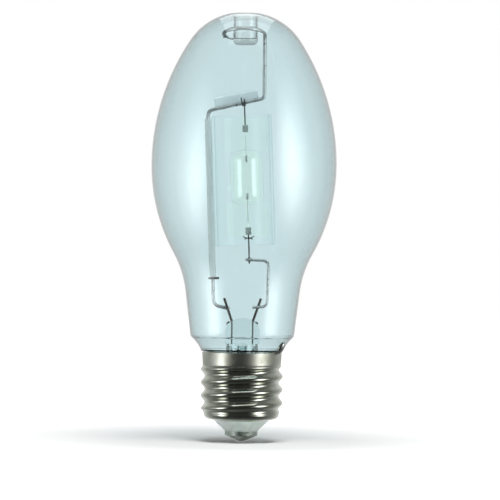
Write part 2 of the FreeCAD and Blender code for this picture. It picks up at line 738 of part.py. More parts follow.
tail_gap = (tail.number + sheet.get("thread_minor") / 2 - wall.number) / 2
neck_gap = (seal.number + thread_mean.number - wall.number) / 2
over_rim = (rim.number + foot_z.number) / 2
lump_x = thread_mean.number + sheet.get("lump_offset")
side_lead = swept_wire("side_lead_wire", bent_edges([
    Vector(wire_x.number, 0, cavity_top.number),
    Vector(wire_x.number, 0, bottom_z),
    at_side(tail_gap, bottom_z),
    at_side(tail_gap, tail_z.number),
    at_side(neck_gap, step_z.number),
    at_side(neck_gap, over_rim),
    at_side(lump_x, over_rim),
], [turn, turn, turn, turn, sheet.get("lead_wire_hook")]), lead)
centre_lead = swept_wire("centre_lead_wire", bent_edges([
    Vector(-wire_x.number, 0, cavity_top.number),
    Vector(-wire_x.number, 0, bottom_z),
    Vector(0, 0, bottom_z - wire_x.number),
    Vector(0, 0, tip.number),
], [turn, turn]), lead)


# Cement: a ring of hard filler between the neck and the collar, round the side lead.
cement_base = step_z + size("cement_gap")
cement_side = thread_mean - wall + collar_flare * (cement_base - collar_base) / size("collar_height")
cement_ring = turned_body("basing_cement_ring", [
    (seal, cement_base), (cement_side, cement_base),
    (thread_mean - wall + collar_flare, rim), (seal, rim),
])
cement = less("basing_cement", cement_ring, [side_lead])


# Solder: a dome that closes the hole in the centre contact, and a lump on the rim.
dome = (crown * crown + tip * tip) / (tip * 2)
plug_top = tip + plate_wall + size("solder_plug")
solder_dome = turned_body("centre_solder_dome", [
    (0, 0, dome, 1), (crown, tip), (hole, tip), (hole, plug_top), (0, plug_top),
])
centre_solder = less("centre_solder", solder_dome, [centre_lead])
lump = doc.addObject("Part::Ellipsoid", "side_solder_lump")
lump.setExpression("Radius1", "sizes.lump_length / 2")
lump.setExpression("Radius2", "sizes.lump_thickness / 2")
lump.setExpression("Radius3", "sizes.lump_width / 2")
lump.Placement = Placement(
    at_side(lump_x, rim.number + sheet.get("lump_rise")),
    Rotation(Vector(0, 0, 1), math.degrees(around))
    * Rotation(Vector(0, 1, 0), sheet.get("lump_lean_degrees")))
side_solder = less("side_solder", lump, [bulb, cap_collar, side_lead])


# Frame: one piece of stiff plated wire, bent up from behind the left post, over
# the burner and up to a ring that goes round the bulb's dimple.
weld = sheet.get("weld_gap")
rod_r = sheet.get("rod_diameter") / 2
frame_y = post_diameter.number / 2 + weld + rod_r
tilt_degrees = sheet.get("lean_degrees")
tilt = math.tan(math.radians(tilt_degrees))
bar_slope = math.radians(sheet.get("bar_slope_degrees"))
up_rod = Vector(-math.sin(math.atan(tilt)), 0, math.cos(math.atan(tilt)))
frame_foot_z = seat_z.number + sheet.get("foot_above_seat")
side_foot = Vector(-sheet.get("side_offset"), frame_y, frame_foot_z + sheet.get("foot_rise"))
side_head = side_foot + up_rod * size("side_height").number


def bar_z(x):
    """Height of the sloping bar's centre line."""
    return side_head.z + (x - side_head.x) * math.tan(bar_slope)


ring_r = sheet.get("ring_radius")
ring_tilt = math.radians(sheet.get("ring_tilt_degrees"))
ring_centre = Vector(-sheet.get("ring_offset"), 0, top.number - sheet.get("ring_drop"))
ring_near = Vector(0, -math.cos(ring_tilt), math.sin(ring_tilt))
riser_run = sheet.get("riser_bend") + sheet.get("riser_straight")
riser_back = -frame_y / math.cos(ring_tilt)
riser_side = math.sqrt(ring_r ** 2 + riser_run ** 2 - riser_back ** 2)
riser_top = ring_centre + Vector(riser_side, 0, 0) + ring_near * riser_back
ring_start = math.atan2(riser_back, riser_side) + math.atan2(riser_run, ring_r)
ring_sweep = math.radians(sheet.get("ring_sweep_degrees"))


def on_ring(angle):
    """A point of the ring, by its angle from the right towards the near side."""
    return ring_centre + Vector(ring_r * math.cos(angle), 0, 0) + ring_near * (ring_r * math.sin(angle))


frame_edges = bent_edges([
    Vector(sheet.get("foot_overlap") - post_x(frame_foot_z), frame_y, frame_foot_z),
    side_foot,
    side_head,
    Vector(riser_top.x, frame_y, bar_z(riser_top.x)),
    riser_top,
    on_ring(ring_start),
], [sheet.get("rod_bend"), sheet.get("rod_bend"), sheet.get("riser_bend"), sheet.get("riser_bend")])
frame_edges.append(Part.Arc(
    on_ring(ring_start), on_ring(ring_start + ring_sweep / 2), on_ring(ring_start + ring_sweep)).toShape())
frame = swept_wire("frame_wire", frame_edges, size("rod_diameter"))

# a loose glass sleeve on the side rod, resting on a turn of wire
sleeve_bore = size("rod_diameter") / 2 + size("sleeve_clearance")
sleeve_out = sleeve_bore + size("sleeve_wall")
sleeve = turned_body("frame_sleeve", [
    (sleeve_bore, 0), (sleeve_out, 0), (sleeve_out, size("sleeve_length")),
    (sleeve_bore, size("sleeve_length")),
])
sleeve.Placement = lean(-tilt_degrees, side_foot + up_rod * size("sleeve_base").number)
stop_r = rod_r + weld + sheet.get("stop_wire") / 2
stop_level = size("sleeve_base").number - sheet.get("stop_gap") - sheet.get("stop_wire") / 2


def round_rod(across, back):
    """A point beside the side rod at the stop's level."""
    return side_foot + up_rod * stop_level + Vector(-up_rod.z, 0, up_rod.x) * -across + Vector(0, back, 0)


def on_stop(degrees):
    """A point of the stop's turn round the side rod."""
    angle = math.radians(degrees)
    return round_rod(stop_r * math.cos(angle), stop_r * math.sin(angle))


stop = swept_wire("sleeve_stop", [
    Part.LineSegment(round_rod(sheet.get("stop_tail"), -stop_r), on_stop(270)).toShape(),
    Part.Arc(on_stop(270), on_stop(145), on_stop(20)).toShape(),
], size("stop_wire"))

# Getter: a strip of bright sheet with its top edge folded back, welded behind the bar.
sheet_gauge = size("getter_sheet")
strip = size("getter_width")
fold = size("getter_fold_degrees")
back_edge = size("getter_flange") * sine(fold)
flange_top = strip + size("getter_flange") * cosine(fold)
getter = new_body("getter_strip")
getter_outline = new_sketch(getter, "getter_strip_outline", "YZ_Plane")
draw_outline(getter_outline, [
    (0, 0), (sheet_gauge, 0), (sheet_gauge, strip - sheet_gauge * sine(fold / 2) / cosine(fold / 2)),
    (back_edge + sheet_gauge * cosine(fold), flange_top - sheet_gauge * sine(fold)),
    (back_edge, flange_top), (0, strip),
])
pad(getter, getter_outline, size("getter_length"))
getter_slope = math.radians(sheet.get("getter_slope_degrees"))
getter_x = side_head.x + sheet.get("getter_start")
getter_far = getter_x + size("getter_length").number * math.cos(getter_slope)
getter_z = bar_z(getter_far) - sheet.get("getter_dip") - size("getter_length").number * math.sin(getter_slope)
getter.Placement = lean(
    -sheet.get("getter_slope_degrees"), Vector(getter_x, frame_y + rod_r + weld, getter_z))


# Burner: a quartz arc tube, closed at both ends by wide pinches of I section. Each
# pinch holds a foil between the electrode's shank and the lead outside.
burner_centre = Vector(sheet.get("burner_offset"), 0, side_foot.z + size("burner_height").number)


def at_burner(end, distance):
    """Placement on the burner's axis. Its Z points away from the centre at that end."""
    heading = -tilt_degrees if end == "upper" else 180 - tilt_degrees
    away = up_rod if end == "upper" else -up_rod
    return lean(heading, burner_centre + away * distance)


def burner_x(height):
    """The burner's axis at this height."""
    return burner_centre.x - (height - burner_centre.z) * tilt


half_arc = size("arc_length") / 2
arc_r = size("arc_radius")
arc_end = size("arc_end_radius")
arc_wall = size("arc_wall")
pinch_end = half_arc + size("pinch_length")
electrode_r = size("electrode_diameter") / 2
coil_r = size("coil_diameter") / 2
nose = size("electrode_nose")
coil_end = nose + size("coil_length")
electrode_tip = half_arc - arc_wall - size("electrode_reach")
burner_lead = size("burner_lead_diameter")


def arc_side(label, inset):
    """Solid inside one side of the arc tube's body."""
    corner = arc_end - inset
    side = arc_r - inset
    foot = half_arc - inset
    body = turned_body(label, [
        (0, -foot), (side - corner, -foot, corner, 1), (side, -foot + corner),
        (side, foot - corner, corner, 1), (side - corner, foot), (0, foot),
    ])
    body.Placement = at_burner("upper", 0)
    return body


half_width = size("pinch_width") / 2
rib_x = half_width - size("pinch_rib")
rib_y = size("pinch_thickness") / 2
web_y = size("pinch_web") / 2
quartz = [arc_side("arc_tube_outside", as_size(0.0))]
embedded = [arc_side("arc_tube_inside", arc_wall)]
burner_pieces = []
for end in ("upper", "lower"):
    pinch = new_body(end + "_pinch")
    section = new_sketch(pinch, end + "_pinch_section", "XY_Plane", half_arc - size("pinch_root"))
    draw_outline(section, [
        (-half_width, -rib_y), (-rib_x, -rib_y), (-rib_x, -web_y), (rib_x, -web_y),
        (rib_x, -rib_y), (half_width, -rib_y), (half_width, rib_y), (rib_x, rib_y),
        (rib_x, web_y), (-rib_x, web_y), (-rib_x, rib_y), (-half_width, rib_y),
    ])
    pad(pinch, section, size("pinch_length") + size("pinch_root"))
    pinch.Placement = at_burner(end, 0)
    quartz.append(pinch)

    foil_start = pinch_end - size(end + "_foil_inset") - size("foil_length")
    foil = doc.addObject("Part::Box", end + "_foil")
    foil.setExpression("Length", "sizes.foil_width")
    foil.setExpression("Width", "sizes.foil_thickness")
    foil.setExpression("Height", "sizes.foil_length")
    middle = Vector(-sheet.get("foil_width") / 2, -sheet.get("foil_thickness") / 2, 0)
    foil.Placement = at_burner(end, foil_start.number) * Placement(middle, Rotation())

    shank = foil_start - electrode_tip
    electrode = turned_body(end + "_electrode", [
        (0, 0), (electrode_r, 0), (electrode_r, nose), (coil_r, nose), (coil_r, coil_end),
        (electrode_r, coil_end), (electrode_r, shank), (0, shank),
    ])
    electrode.Placement = at_burner(end, electrode_tip.number)

    outside_lead = rod(end + "_lead", burner_lead, size(end + "_lead_length"))
    outside_lead.Placement = at_burner(end, (foil_start + size("foil_length")).number)
    embedded += [foil, electrode, outside_lead]
    burner_pieces += [foil, electrode, outside_lead]

tip_off_height = arc_wall / 2 + size("tip_off_length")
tip_off_r = size("tip_off_radius")
tip_off = turned_body("arc_tube_tip_off", [
    (0, 0), (size("tip_off_base"), 0), (tip_off_r, tip_off_height - tip_off_r, tip_off_r, 1),
    (0, tip_off_height),
])
to_wall = Vector((arc_wall / 2 - arc_r).number, 0, -sheet.get("tip_off_drop"))
tip_off.Placement = at_burner("upper", 0) * lean(-90, to_wall)
quartz.append(tip_off)
arc_glass = doc.addObject("Part::MultiFuse", "arc_tube_glass")
arc_glass.Shapes = quartz
arc_tube = less("arc_tube", arc_glass, embedded)

# a star washer pushed up the lower lead to the pinch
washer = new_body("lead_washer")
star = new_sketch(washer, "lead_washer_outline", "XY_Plane")
star_corners = []
for step in range(8):
    angle = as_size(22.5 + 45 * step)
    reach = size("washer_width" if step % 2 == 0 else "washer_waist") / 2
    star_corners.append((reach * cosine(angle), reach * sine(angle)))
draw_outline(star, star_corners)
draw_circle(star, 0, 0, burner_lead / 2 + size("washer_fit"))
pad(washer, star, size("washer_sheet"))
washer.Placement = at_burner("lower", (pinch_end + size("washer_gap")).number)

# a short hook of thin wire that ties the upper lead to the bar
clip_r = sheet.get("clip_diameter") / 2
lead_r = burner_lead.number / 2
bar_meets = (bar_z(0) + burner_x(0) * math.tan(bar_slope)) / (1 + tilt * math.tan(bar_slope))
clip_x = burner_x(bar_meets) - (lead_r + clip_r + weld) / math.cos(math.atan(tilt))
clip_y = frame_y - rod_r - weld - clip_r
clip_foot = bar_z(clip_x) - (rod_r + weld + clip_r) / math.cos(bar_slope)
clip_head = bar_z(clip_x) + sheet.get("clip_rise")
clip = swept_wire("top_lead_clip", bent_edges([
    Vector(clip_x, clip_y + sheet.get("clip_hook"), clip_foot),
    Vector(clip_x, clip_y, clip_foot),
    Vector(clip_x - sheet.get("clip_slant"), clip_y, clip_head),
], [sheet.get("clip_bend")]), size("clip_diameter"))


# Shroud: a wide quartz tube round the burner, fire-polished at its ends.
shroud_r = size("shroud_radius")
shroud_wall = size("shroud_wall")
shroud_bore = shroud_r - shroud_wall
polish = shroud_wall / 2
shroud = turned_body("shroud_tube", [
    (shroud_bore, polish, polish * 1.1, 1), (shroud_r, polish),
    (shroud_r, size("shroud_length") - polish, polish * 1.1, 1),
    (shroud_bore, size("shroud_length") - polish),
])
shroud_z = burner_centre.z - sheet.get("shroud_drop")
rod_x = side_foot.x - (shroud_z - side_foot.z) * tilt
beside = (sleeve_out + size("shroud_gap") + shroud_r).number / math.cos(math.atan(tilt))
shroud_foot = Vector(rod_x + beside, 0, shroud_z) - up_rod * (size("shroud_length").number / 2)
shroud.Placement = lean(-tilt_degrees, shroud_foot)


# Support: a bent wire in front that carries current from the right post to the
# lower lead.
support_r = sheet.get("support_diameter") / 2
support_low = seat_z.number + sheet.get("support_post_rise")
support_high = support_low + size("support_height").number
support_x = sheet.get("support_offset")
support_slope = sheet.get("support_slope")
at_post = -(post_diameter.number / 2 + weld + support_r)
at_lead = -(lead_r + weld + support_r)
upper_reach = burner_x(support_high) - sheet.get("support_upper_overlap")
lower_reach = post_x(support_low) - sheet.get("support_lower_overlap")
support = swept_wire("support_wire", bent_edges([
    Vector(lower_reach, at_post, support_low),
    Vector(support_x - support_slope, at_post, support_low + support_slope),
    Vector(support_x, at_lead, support_high),
    Vector(upper_reach, at_lead, support_high + support_slope),
], [sheet.get("support_bend"), sheet.get("support_bend")]), size("support_diameter"))


PIECES = [
    cap_shell, insulator, centre_contact, centre_solder, side_solder, cement, bulb, stem,
    exhaust_tube, side_lead, centre_lead, frame, sleeve, stop, getter, arc_tube, washer, clip,
    shroud, support,
] + posts + seal_wires + burner_pieces

doc.recompute()
for item in doc.Objects:
    if "Invalid" in item.State or "Error" in item.State:
        raise RuntimeError("%s did not recompute" % item.Name)
for piece in PIECES:
    if piece.Shape.isNull() or not piece.Shape.isValid() or len(piece.Shape.Solids) != 1:
        raise RuntimeError("%s is not one valid solid" % piece.Label)

os.makedirs("parts", exist_ok=True)
for piece in PIECES:
    piece.Shape.exportStep("parts/%s.step" % piece.Label)
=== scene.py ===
# Looks for a metal halide lamp: a clear blown bulb on a nickel-plated screw cap,
# with a quartz burner in its shroud on a bent wire frame.
import math

import bpy
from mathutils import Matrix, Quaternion, Vector


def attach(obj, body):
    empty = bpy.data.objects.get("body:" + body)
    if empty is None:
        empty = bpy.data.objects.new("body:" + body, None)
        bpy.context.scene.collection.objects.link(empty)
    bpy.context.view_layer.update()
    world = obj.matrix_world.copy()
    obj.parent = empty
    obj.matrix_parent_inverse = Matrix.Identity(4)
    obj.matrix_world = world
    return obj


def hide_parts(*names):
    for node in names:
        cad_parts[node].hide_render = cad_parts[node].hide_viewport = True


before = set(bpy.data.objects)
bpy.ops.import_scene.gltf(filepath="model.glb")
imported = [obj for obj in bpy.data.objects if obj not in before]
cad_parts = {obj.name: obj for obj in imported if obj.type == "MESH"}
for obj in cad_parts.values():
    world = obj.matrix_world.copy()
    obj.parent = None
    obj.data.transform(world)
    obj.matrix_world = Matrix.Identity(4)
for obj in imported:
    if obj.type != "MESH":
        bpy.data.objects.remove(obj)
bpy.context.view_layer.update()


# Viewpoint. A long lens almost level with the middle of the bulb, 1.7 m away. The
# lamp leans a little to the right in the picture, so the camera is rolled by that.
VIEW_DISTANCE = 1.7
VIEW_HEIGHT = 0.102
PICTURE_WIDTH = 0.240
PICTURE_CENTRE = Vector((0.0033, 0.0, 0.0923))
ROLL = math.radians(0.65)

camera_data = bpy.data.cameras.new("camera")
camera_data.sensor_width = 36
camera_data.lens = camera_data.sensor_width * VIEW_DISTANCE / PICTURE_WIDTH
camera_data.clip_end = 20
camera = bpy.data.objects.new("camera", camera_data)
bpy.context.scene.collection.objects.link(camera)
camera.location = (PICTURE_CENTRE.x, -VIEW_DISTANCE, VIEW_HEIGHT)
aim = (PICTURE_CENTRE - camera.location).to_track_quat("-Z", "Y")
camera.rotation_mode = "QUATERNION"
camera.rotation_quaternion = aim @ Quaternion((0, 0, 1), ROLL)
bpy.context.scene.camera = camera
bpy.context.scene.view_settings.view_transform = "Standard"


# Table top. A matt white board that the lamp stands on. Far from the softboxes it is
# lifted to white, and near the lamp only the lamp's own shadow darkens it.
TABLE_RADIUS = 2.5
TABLE_SIDES = 96
LIFT_STARTS, LIFT_ENDS = 0.05, 0.32
FAR_LIFT = 0.95


def linear(code):
    """An sRGB hex colour as the linear values that a shader takes."""
    values = []
    for start in (1, 3, 5):
        level = int(code[start:start + 2], 16) / 255
        values.append(level / 12.92 if level <= 0.04045 else ((level + 0.055) / 1.055) ** 2.4)
    return (*values, 1.0)


def add(tree, kind, settings=None, inputs=None):
    """One node, with its settings, its values and what is linked to it."""
    node = tree.nodes.new(kind)
    for name, value in (settings or {}).items():
        setattr(node, name, value)
    for socket, value in (inputs or {}).items():
        if isinstance(value, bpy.types.NodeSocket):
            tree.links.new(value, node.inputs[socket])
        else:
            node.inputs[socket].default_value = value
    return node


def blank_material(name):
    """A material with an empty node tree and its output."""
    material = bpy.data.materials.new(name)
    material.use_nodes = True
    material.node_tree.nodes.clear()
    return material, material.node_tree, add(material.node_tree, "ShaderNodeOutputMaterial")


table_mesh = bpy.data.meshes.new("table_top")
turns = [math.tau * n / TABLE_SIDES for n in range(TABLE_SIDES)]
edge = [(TABLE_RADIUS * math.cos(turn), TABLE_RADIUS * math.sin(turn), 0) for turn in turns]
table_mesh.from_pydata(edge, [], [list(range(TABLE_SIDES))])
table = bpy.data.objects.new("table_top", table_mesh)
bpy.context.scene.collection.objects.link(table)
table.visible_glossy = False
table_white, tree, out = blank_material("matt_white_laminate")
paint = add(tree, "ShaderNodeBsdfDiffuse", inputs={"Color": linear("#f6f7f7")})
path = add(tree, "ShaderNodeLightPath")
place = add(tree, "ShaderNodeTexCoord")
off_lamp = add(tree, "ShaderNodeVectorMath", {"operation": "LENGTH"},
               {0: place.outputs["Object"]})
backing = add(tree, "ShaderNodeMapRange", inputs={
    "Value": off_lamp.outputs["Value"], "From Min": LIFT_STARTS, "From Max": LIFT_ENDS,
    "To Min": 0.0, "To Max": FAR_LIFT})
lift = add(tree, "ShaderNodeMath", {"operation": "MULTIPLY"}, {
    0: path.outputs["Is Camera Ray"], 1: backing.outputs[0]})
glow = add(tree, "ShaderNodeEmission", inputs={"Strength": lift.outputs[0]})
both = add(tree, "ShaderNodeAddShader", inputs={0: paint.outputs[0], 1: glow.outputs[0]})
# through the glass the board reads as plain white, which the lamp's tint then colours
plain = add(tree, "ShaderNodeEmission", inputs={"Strength": 1.0})
board = add(tree, "ShaderNodeMixShader", inputs={
    0: path.outputs["Is Transmission Ray"], 1: both.outputs[0], 2: plain.outputs[0]})
tree.links.new(board.outputs[0], out.inputs["Surface"])
table.data.materials.append(table_white)


# Room. It is white to look at, also through glass. What reflects in the lamp is white
# behind it and dark behind the camera, which draws the dark middle on bright metal.
FILL = 0.15
MIRRORED_SHARE = 0.8
BEHIND_CAMERA = (0.045, 0.047, 0.045, 1)
BEHIND_LAMP = (1, 1, 1, 1)
SHADES_BETWEEN = ((0.35, 0.15), (0.55, 0.26), (0.80, 0.58))

world = bpy.data.worlds.new("studio")
bpy.context.scene.world = world
world.use_nodes = True
tree = world.node_tree
tree.nodes.clear()
room = add(tree, "ShaderNodeTexCoord")
towards = add(tree, "ShaderNodeSeparateXYZ", inputs={0: room.outputs["Generated"]})
depth = add(tree, "ShaderNodeMapRange", inputs={
    "Value": towards.outputs["Y"], "From Min": -1.0, "From Max": 1.0})
shade = add(tree, "ShaderNodeValToRGB", inputs={"Fac": depth.outputs[0]})
ramp = shade.color_ramp
ramp.elements[0].position, ramp.elements[0].color = 0.10, BEHIND_CAMERA
ramp.elements[1].position, ramp.elements[1].color = 0.93, BEHIND_LAMP
for position, level in SHADES_BETWEEN:
    step = ramp.elements.new(position)
    step.color = (level, level * 1.04, level * 1.02, 1)
path = add(tree, "ShaderNodeLightPath")
under = add(tree, "ShaderNodeMapRange", inputs={
    "Value": towards.outputs["Z"], "From Min": -0.9, "From Max": -0.3,
    "To Min": 0.5, "To Max": 1.0})
fainter = add(tree, "ShaderNodeMapRange", inputs={
    "Value": path.outputs["Is Glossy Ray"], "To Min": 1.0, "To Max": MIRRORED_SHARE})
strength = add(tree, "ShaderNodeMath", {"operation": "MULTIPLY"}, {
    0: under.outputs[0], 1: fainter.outputs[0]})
fill = add(tree, "ShaderNodeBackground", inputs={"Color": (1, 1, 1, 1), "Strength": FILL})
white = add(tree, "ShaderNodeBackground", inputs={"Color": (1, 1, 1, 1), "Strength": 1.0})
around = add(tree, "ShaderNodeBackground", inputs={
    "Color": shade.outputs["Color"], "Strength": strength.outputs[0]})
lit = add(tree, "ShaderNodeMixShader", inputs={
    0: path.outputs["Is Glossy Ray"], 1: fill.outputs[0], 2: around.outputs[0]})
direct = add(tree, "ShaderNodeMath", {"operation": "MAXIMUM"}, {
    0: path.outputs["Is Camera Ray"], 1: path.outputs["Is Transmission Ray"]})
view = add(tree, "ShaderNodeMixShader", inputs={
    0: direct.outputs[0], 1: lit.outputs[0], 2: white.outputs[0]})
out = add(tree, "ShaderNodeOutputWorld")
tree.links.new(view.outputs[0], out.inputs["Surface"])


# Lights. Tall softboxes stand at the sides, oval and brightest in the middle, each in
# front of a wide dim diffuser. A broad box hangs over the lamp, and a smaller one to
# the front of it throws the shadow. None of them shows through the glass.
EDGE_OF_BOX = 0.05


def softbox(name, bearing, low, high, width, brightness, core=0.0, roll=0, distance=0.7):
    """An oval light at a bearing from the camera's side. Roll tips its foot outward."""
    light = bpy.data.lights.new(name, "AREA")
    light.shape = "ELLIPSE"
    light.size = width
    light.size_y = high - low
    light.energy = brightness * math.pi * width * (high - low)
    light.use_nodes = True
    tree = light.node_tree
    tree.nodes.clear()
    place = add(tree, "ShaderNodeNewGeometry")
    centred = add(tree, "ShaderNodeVectorMath", {"operation": "SUBTRACT"},
                  {0: place.outputs["Parametric"], 1: (0.5, 0.5, 0.0)})
    away = add(tree, "ShaderNodeVectorMath", {"operation": "LENGTH"}, {0: centred.outputs[0]})
    fade = add(tree, "ShaderNodeMapRange", {"interpolation_type": "SMOOTHSTEP"}, {
        "Value": away.outputs["Value"], "From Min": core, "From Max": 0.5,
        "To Min": 1.0, "To Max": EDGE_OF_BOX})
    shine = add(tree, "ShaderNodeEmission", inputs={"Strength": fade.outputs[0]})
    out = add(tree, "ShaderNodeOutputLight")
    tree.links.new(shine.outputs[0], out.inputs["Surface"])
    lamp = bpy.data.objects.new(name, light)
    angle = math.radians(bearing)
    lamp.location = (distance * math.sin(angle), -distance * math.cos(angle), (low + high) / 2)
    facing = Vector((0, 0, lamp.location.z)) - lamp.location
    upright = facing.to_track_quat("-Z", "Y")
    lamp.rotation_mode = "QUATERNION"
    lamp.rotation_quaternion = upright @ Quaternion((0, 0, 1), math.radians(roll))
    lamp.visible_camera = False
    lamp.visible_transmission = False
    bpy.context.scene.collection.objects.link(lamp)


softbox("left_softbox", -60, low=-0.56, high=0.48, width=0.50, brightness=2.3, roll=-12)
softbox("left_diffuser", -74, low=-0.50, high=0.55, width=1.00, brightness=0.5,
        core=0.10, distance=0.75)
softbox("right_softbox", 57, low=-0.42, high=0.62, width=0.54, brightness=2.9, roll=14)
softbox("right_diffuser", 58, low=-0.50, high=0.55, width=1.10, brightness=0.5,
        core=0.10, distance=0.75)
for name, size, brightness, place, mirrored in (
        ("top_softbox", 0.7, 1.2, (0.02, 0.02, 0.95), True),
        ("top_spot", 0.34, 15.0, (0.06, -0.40, 0.80), False)):
    light = bpy.data.lights.new(name, "AREA")
    light.size = size
    light.energy = brightness * math.pi * size ** 2
    lamp = bpy.data.objects.new(name, light)
    lamp.location = place
    lamp.visible_camera = False
    lamp.visible_glossy = mirrored
    lamp.visible_transmission = False
    bpy.context.scene.collection.objects.link(lamp)


# Screw cap shell. Brass sheet, drawn to a cup, rolled to the thread and nickel-plated:
# a warm mirror with faint lines round it from the rolls. The basing oven has dulled
# its collar. The lines' noise is stretched: fine up the axis, and long round it.
COLLAR_STARTS, COLLAR_FULL = 0.0335, 0.0385
COLLAR_DULLING = 0.28
DULL_PATCH_MM = 6


def dress(material, *nodes):
    """Gives CAD nodes their finish."""
    for node in nodes:
        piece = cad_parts[node]
        if not piece.material_slots:
            piece.data.materials.append(material)
        for place in piece.material_slots:
            place.material = material


def plated_sheet(name, colour, dull, roughness, line_mm, line_depth):
    """Bright plate over formed sheet: lines round the axis, and duller patches."""
    material, tree, out = blank_material(name)
    where = add(tree, "ShaderNodeTexCoord")
    turned = add(tree, "ShaderNodeMapping", inputs={
        "Vector": where.outputs["Object"], "Scale": (60, 60, 1000 / line_mm)})
    lines = add(tree, "ShaderNodeTexNoise", inputs={
        "Vector": turned.outputs[0], "Scale": 1.0, "Detail": 3.0})
    patches = add(tree, "ShaderNodeTexNoise", inputs={
        "Vector": where.outputs["Object"], "Scale": 1000 / DULL_PATCH_MM, "Detail": 4.0})
    patch = add(tree, "ShaderNodeMapRange", inputs={
        "Value": patches.outputs["Fac"], "From Min": 0.42, "From Max": 0.72})
    tone = add(tree, "ShaderNodeMix", {"data_type": "RGBA"},
               {"Factor": patch.outputs[0], 6: linear(colour), 7: linear(dull)})
    rough = add(tree, "ShaderNodeMapRange", inputs={
        "Value": patches.outputs["Fac"], "From Min": 0.3, "From Max": 0.75,
        "To Min": roughness * 0.7, "To Max": roughness * 2.2})
    up = add(tree, "ShaderNodeSeparateXYZ", inputs={0: where.outputs["Object"]})
    collar = add(tree, "ShaderNodeMapRange", inputs={
        "Value": up.outputs["Z"], "From Min": COLLAR_STARTS, "From Max": COLLAR_FULL,
        "To Max": COLLAR_DULLING})
    duller = add(tree, "ShaderNodeMath", {"operation": "ADD"}, {
        0: rough.outputs[0], 1: collar.outputs[0]})
    bump = add(tree, "ShaderNodeBump", inputs={
        "Height": lines.outputs["Fac"], "Strength": 1.0, "Distance": line_depth})
    metal = add(tree, "ShaderNodeBsdfPrincipled", inputs={
        "Base Color": tone.outputs[2], "Metallic": 1.0, "Roughness": duller.outputs[0],
        "Normal": bump.outputs["Normal"]})
    tree.links.new(metal.outputs[0], out.inputs["Surface"])
    return material


dress(plated_sheet("nickel_plated_rolled_brass", "#c9ccc2", "#aeaf9f", roughness=0.075,
                   line_mm=0.7, line_depth=0.000004), "cap_shell")


# Insulator. Pressed glass, cast hot into the foot of the shell: pale, a little
# cloudy, with slow swirls where the gob folded.
SWIRL_MM = 5
SWIRL_DEPTH = 0.00006

material, tree, out = blank_material("pressed_insulator_glass")
where = add(tree, "ShaderNodeTexCoord")
swirl = add(tree, "ShaderNodeTexNoise", inputs={
    "Vector": where.outputs["Object"], "Scale": 1000 / SWIRL_MM, "Detail": 3.0,
    "Distortion": 1.2})
tone = add(tree, "ShaderNodeMix", {"data_type": "RGBA"},
           {"Factor": swirl.outputs["Fac"], 6: linear("#b9c8c0"), 7: linear("#dfe9e3")})
bump = add(tree, "ShaderNodeBump", inputs={
    "Height": swirl.outputs["Fac"], "Strength": 1.0, "Distance": SWIRL_DEPTH})
insulator = add(tree, "ShaderNodeBsdfPrincipled", inputs={
    "Base Color": tone.outputs[2], "Roughness": 0.16, "IOR": 1.52,
    "Subsurface Weight": 0.3, "Subsurface Scale": 0.002, "Normal": bump.outputs["Normal"]})
tree.links.new(insulator.outputs[0], out.inputs["Surface"])
dress(material, "insulator")


# Centre contact and solder. The plate is tinned brass, dished and set in the glass.
# Soft solder closes its hole and holds the side lead at the rim.
SKIN_MM = 1.4
SKIN_DEPTH = 0.00015

dress(plated_sheet("tinned_brass_plate", "#bcc6bd", "#99a39a", roughness=0.36,
                   line_mm=0.5, line_depth=0.00002), "centre_contact")
material, tree, out = blank_material("soft_tin_solder")
where = add(tree, "ShaderNodeTexCoord")
skin = add(tree, "ShaderNodeTexNoise", inputs={
    "Vector": where.outputs["Object"], "Scale": 1000 / SKIN_MM, "Detail": 5.0})
tone = add(tree, "ShaderNodeMix", {"data_type": "RGBA"},
           {"Factor": skin.outputs["Fac"], 6: linear("#b4b8b6"), 7: linear("#e3e6e4")})
rough = add(tree, "ShaderNodeMapRange", inputs={
    "Value": skin.outputs["Fac"], "To Min": 0.12, "To Max": 0.5})
bump = add(tree, "ShaderNodeBump", inputs={
    "Height": skin.outputs["Fac"], "Strength": 1.0, "Distance": SKIN_DEPTH})
solder = add(tree, "ShaderNodeBsdfPrincipled", inputs={
    "Base Color": tone.outputs[2], "Metallic": 1.0, "Roughness": rough.outputs[0],
    "Normal": bump.outputs["Normal"]})
tree.links.new(solder.outputs[0], out.inputs["Surface"])
dress(material, "centre_solder", "side_solder")


# Basing cement. Ground marble in resin, cured hard between the neck and the collar:
# chalky, with fine grains.
GRAIN_MM = 0.6
GRAIN_DEPTH = 0.0001

material, tree, out = blank_material("cured_basing_cement")
where = add(tree, "ShaderNodeTexCoord")
grains = add(tree, "ShaderNodeTexVoronoi", inputs={
    "Vector": where.outputs["Object"], "Scale": 1000 / GRAIN_MM})
tone = add(tree, "ShaderNodeMix", {"data_type": "RGBA"},
           {"Factor": grains.outputs["Distance"], 6: linear("#d6cfbe"), 7: linear("#a79f8c")})
bump = add(tree, "ShaderNodeBump", inputs={
    "Height": grains.outputs["Distance"], "Strength": 1.0, "Distance": GRAIN_DEPTH})
cement = add(tree, "ShaderNodeBsdfPrincipled", inputs={
    "Base Color": tone.outputs[2], "Roughness": 0.9, "Normal": bump.outputs["Normal"]})
tree.links.new(cement.outputs[0], out.inputs["Surface"])
dress(material, "basing_cement")


# Outer bulb. Soda-lime glass blown in a mould, about 1 mm thick. It carries a faint
# blue-green tint, which four passes through its wall make plain, and waves slightly.
# The dimple's glass, within the clear radius, is untinted but for painted shade on its edges.
GLASS_ROUGHNESS = 0.02
DIMPLE_EDGE_SHADE = "#5f7070"
SHADOW_TINT = "#eff3f3"
TINT_FADE = 0.003


